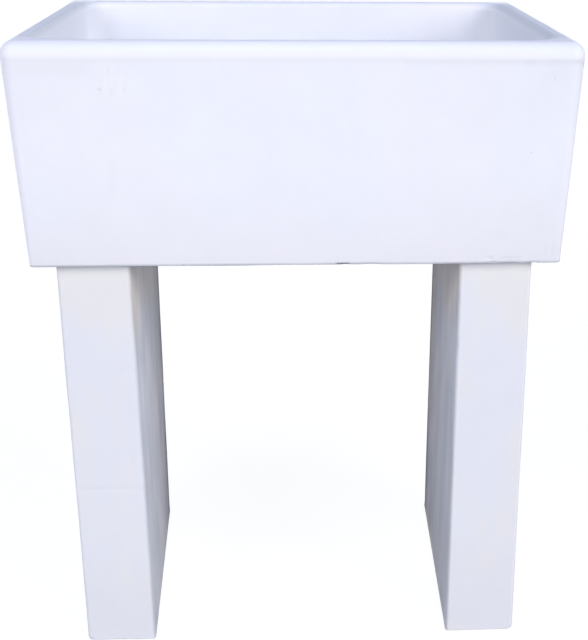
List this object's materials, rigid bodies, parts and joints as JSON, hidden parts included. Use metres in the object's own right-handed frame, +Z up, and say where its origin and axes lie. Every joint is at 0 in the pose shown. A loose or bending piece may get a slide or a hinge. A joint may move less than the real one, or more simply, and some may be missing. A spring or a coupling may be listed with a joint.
{
  "type": "laundry sink",
  "caption": "Cast laundry trough with a bullnose rim and deep drafted bowl, standing on slab legs, with a strainer waste and a lift-out rubber plug.",
  "frame": {"origin": "on the floor, under the middle of the rim", "axes": "+Z up, +X to the right as one stands in front of the bowl, +Y from the front towards the wall"},
  "size_m": [0.7, 0.5, 0.85],
  "materials": {
    "trough_stone": "satin",
    "leg_stone": "matt",
    "stainless": "polished",
    "brass": "satin",
    "seal_rubber": "matt",
    "plug_rubber": "matt",
    "waste_plastic": "satin"
  },
  "bodies": {
    "trough": {"basin": "trough_stone", "leg_left": "leg_stone", "leg_right": "leg_stone", "strainer": "stainless", "flange_gasket": "seal_rubber", "clamp_screw": "stainless", "clamp_nut": "brass", "under_gasket": "seal_rubber", "waste_body": "waste_plastic"},
    "stopper": {"plug": "plug_rubber", "plug_eye": "stainless", "plug_washer": "stainless"},
    "ring": {"pull_ring": "stainless"}
  },
  "joints": [
    {"name": "plug_lift", "type": "slide", "parent": "trough", "child": "stopper", "axis": [0, 0, 1], "range_m": [0, 0.3]},
    {"name": "ring_swing", "type": "hinge", "parent": "stopper", "child": "ring", "pos_m": [0, 0, 0.6121], "axis": [0, -1, 0], "range_deg": [0, 162.9]}
  ]
}
